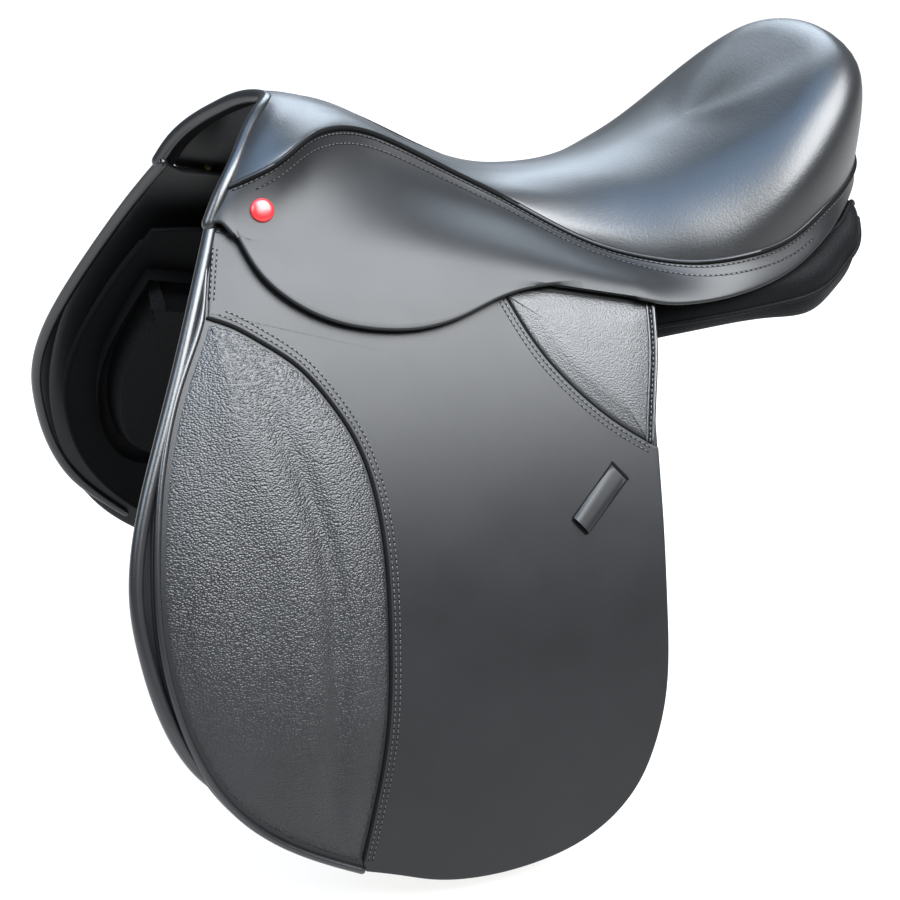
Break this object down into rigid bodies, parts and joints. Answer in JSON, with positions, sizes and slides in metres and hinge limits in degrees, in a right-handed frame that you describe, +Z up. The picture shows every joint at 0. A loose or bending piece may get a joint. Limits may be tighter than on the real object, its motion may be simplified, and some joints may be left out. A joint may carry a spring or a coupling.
{
  "type": "english saddle",
  "caption": "General purpose English riding saddle in black leather, with deep seat, forward flaps, knee rolls, skirts, panels, girth straps and stirrup bars.",
  "frame": {"origin": "on the centre plane, under the lowest point of the seat, at the height where the panels bear on the horse's back", "axes": "+X forward to the pommel, +Y to the horse's near (left) side, +Z up"},
  "size_m": [0.5762, 0.5006, 0.5001],
  "materials": {
    "smooth_leather": "smooth black leather, satin",
    "grained_leather": "pebbled black leather, dull",
    "lining_leather": "soft black lining leather",
    "foam": "foam and wool flocking",
    "webbing": "woven webbing",
    "tree": "laminated beech",
    "spring_steel": "blued spring steel",
    "stainless": "forged stainless steel",
    "brass": "polished brass",
    "red_stud": "red enamel button"
  },
  "bodies": {
    "saddle": {"tree_head": "tree", "tree_cantle": "tree", "tree_rail_near": "spring_steel", "tree_rail_far": "spring_steel", "gullet_plate": "spring_steel", "gullet_screws": "spring_steel", "stirrup_bar_near": "stainless", "stirrup_bar_far": "stainless", "stirrup_bar_rivets": "stainless", "seat_webbing": "webbing", "seat_foam": "foam", "seat_cover": "smooth_leather", "seat_welt": "smooth_leather", "pommel_piping": "smooth_leather", "skirt_top_near": "smooth_leather", "skirt_top_far": "smooth_leather", "panel_near": "lining_leather", "panel_far": "lining_leather", "panel_gusset_near": "grained_leather", "panel_gusset_far": "grained_leather", "panel_welt": "smooth_leather", "sweat_flap_near": "lining_leather", "sweat_flap_far": "lining_leather", "point_pocket_near": "lining_leather", "point_pocket_far": "lining_leather", "knee_block_near": "lining_leather", "knee_block_far": "lining_leather", "girth_webbing": "webbing", "skirt_stud_near": "red_stud", "skirt_stud_far": "red_stud"},
    "near_flap": {"flap_near": "smooth_leather", "knee_roll_near": "grained_leather", "thigh_patch_near": "grained_leather", "keeper_loop_near": "smooth_leather", "flap_piping_near": "smooth_leather", "dee_staple_near": "brass"},
    "near_skirt": {"skirt_near": "smooth_leather"},
    "near_ring": {"dee_ring_near": "brass"},
    "near_bar_catch": {"bar_catch_near": "stainless"},
    "near_strap_1": {"girth_strap_near_1": "lining_leather"},
    "near_strap_2": {"girth_strap_near_2": "lining_leather"},
    "near_strap_3": {"girth_strap_near_3": "lining_leather"},
    "near_buckle_guard": {"buckle_guard_near": "smooth_leather"},
    "far_flap": {"flap_far": "smooth_leather", "knee_roll_far": "grained_leather", "thigh_patch_far": "grained_leather", "keeper_loop_far": "smooth_leather", "flap_piping_far": "smooth_leather", "dee_staple_far": "brass"},
    "far_skirt": {"skirt_far": "smooth_leather"},
    "far_ring": {"dee_ring_far": "brass"},
    "far_bar_catch": {"bar_catch_far": "stainless"},
    "far_strap_1": {"girth_strap_far_1": "lining_leather"},
    "far_strap_2": {"girth_strap_far_2": "lining_leather"},
    "far_strap_3": {"girth_strap_far_3": "lining_leather"},
    "far_buckle_guard": {"buckle_guard_far": "smooth_leather"}
  },
  "joints": [
    {"name": "near_flap_lift", "type": "hinge", "parent": "saddle", "child": "near_flap", "pos_m": [0.236, 0.0904, 0.086], "axis": [0.9724, -0.1493, 0.179], "range_deg": [0, 80]},
    {"name": "near_skirt_lift", "type": "hinge", "parent": "near_flap", "child": "near_skirt", "pos_m": [0.236, 0.0904, 0.086], "axis": [0.9724, -0.1493, 0.179], "range_deg": [0, 50]},
    {"name": "near_ring_swing", "type": "hinge", "parent": "near_flap", "child": "near_ring", "pos_m": [0.193, 0.0951, 0.072], "axis": [0, 0.7444, 0.6678], "range_deg": [-20, 20]},
    {"name": "near_bar_catch_turn", "type": "hinge", "parent": "saddle", "child": "near_bar_catch", "pos_m": [0.056, 0.0689, 0.059], "axis": [0, -1, 0], "range_deg": [0, 80]},
    {"name": "near_strap_1_swing", "type": "hinge", "parent": "saddle", "child": "near_strap_1", "pos_m": [0.013, 0.10957, 0.033], "axis": [0, 0.7867, 0.6174], "range_deg": [-5, 5]},
    {"name": "near_strap_2_swing", "type": "hinge", "parent": "saddle", "child": "near_strap_2", "pos_m": [0.044, 0.10957, 0.033], "axis": [0, 0.7867, 0.6174], "range_deg": [-5, 5]},
    {"name": "near_strap_3_swing", "type": "hinge", "parent": "saddle", "child": "near_strap_3", "pos_m": [0.075, 0.10957, 0.033], "axis": [0, 0.7867, 0.6174], "range_deg": [-5, 5]},
    {"name": "near_guard_slide", "type": "hinge", "parent": "near_strap_2", "child": "near_buckle_guard", "pos_m": [0.044, -0.35299, -0.33], "axis": [1, 0, 0], "range_deg": [0, 4]},
    {"name": "far_flap_lift", "type": "hinge", "parent": "saddle", "child": "far_flap", "pos_m": [0.236, -0.0904, 0.086], "axis": [-0.9724, -0.1493, -0.179], "range_deg": [0, 80]},
    {"name": "far_skirt_lift", "type": "hinge", "parent": "far_flap", "child": "far_skirt", "pos_m": [0.236, -0.0904, 0.086], "axis": [-0.9724, -0.1493, -0.179], "range_deg": [0, 50]},
    {"name": "far_ring_swing", "type": "hinge", "parent": "far_flap", "child": "far_ring", "pos_m": [0.193, -0.0951, 0.072], "axis": [0, -0.7444, 0.6678], "range_deg": [-20, 20]},
    {"name": "far_bar_catch_turn", "type": "hinge", "parent": "saddle", "child": "far_bar_catch", "pos_m": [0.056, -0.0689, 0.059], "axis": [0, -1, 0], "range_deg": [0, 80]},
    {"name": "far_strap_1_swing", "type": "hinge", "parent": "saddle", "child": "far_strap_1", "pos_m": [0.013, -0.10957, 0.033], "axis": [0, -0.7867, 0.6174], "range_deg": [-5, 5]},
    {"name": "far_strap_2_swing", "type": "hinge", "parent": "saddle", "child": "far_strap_2", "pos_m": [0.044, -0.10957, 0.033], "axis": [0, -0.7867, 0.6174], "range_deg": [-5, 5]},
    {"name": "far_strap_3_swing", "type": "hinge", "parent": "saddle", "child": "far_strap_3", "pos_m": [0.075, -0.10957, 0.033], "axis": [0, -0.7867, 0.6174], "range_deg": [-5, 5]},
    {"name": "far_guard_slide", "type": "hinge", "parent": "far_strap_2", "child": "far_buckle_guard", "pos_m": [0.044, 0.35299, -0.33], "axis": [-1, 0, 0], "range_deg": [0, 4]}
  ],
  "couplings": [
    {"joint": "near_strap_1_swing", "follows": "near_strap_2_swing", "ratio": 1},
    {"joint": "near_strap_3_swing", "follows": "near_strap_2_swing", "ratio": 1},
    {"joint": "far_strap_1_swing", "follows": "far_strap_2_swing", "ratio": 1},
    {"joint": "far_strap_3_swing", "follows": "far_strap_2_swing", "ratio": 1}
  ]
}
